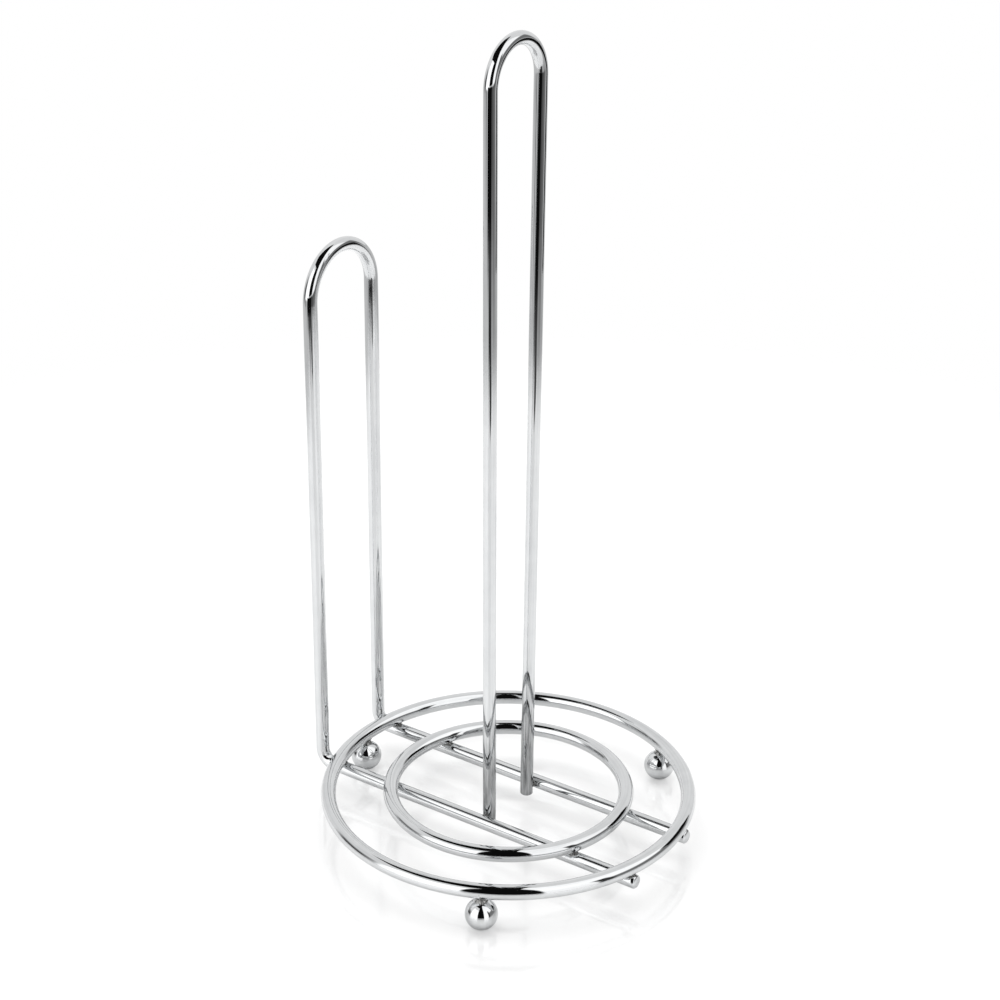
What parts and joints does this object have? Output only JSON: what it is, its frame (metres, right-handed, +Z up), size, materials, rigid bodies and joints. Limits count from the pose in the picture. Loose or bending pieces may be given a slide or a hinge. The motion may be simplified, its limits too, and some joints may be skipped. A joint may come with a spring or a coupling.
{
  "type": "paper towel holder",
  "caption": "Free-standing chromed wire paper towel holder: a tall hairpin post and a lower side loop on a base of concentric rings with ball feet.",
  "frame": {"origin": "on the worktop, on the common axis of the two base rings, which is also the post's axis", "axes": "+Z up along the post; +X away from the side arm, along the runners; +Y across the runners"},
  "size_m": [0.1598, 0.152, 0.327],
  "materials": {
    "ring_wire": "polished",
    "arm_wire": "polished",
    "post_wire": "polished",
    "feet": "polished",
    "welds": "plated weld bead, slightly rough"
  },
  "bodies": {
    "root": {"outer_ring": "ring_wire", "inner_ring": "ring_wire", "side_arm": "arm_wire", "center_post": "post_wire", "foot_back": "feet", "foot_left": "feet", "foot_right": "feet", "outer_ring_welds": "welds", "inner_ring_welds": "welds", "post_welds": "welds", "foot_welds": "welds"}
  },
  "joints": []
}
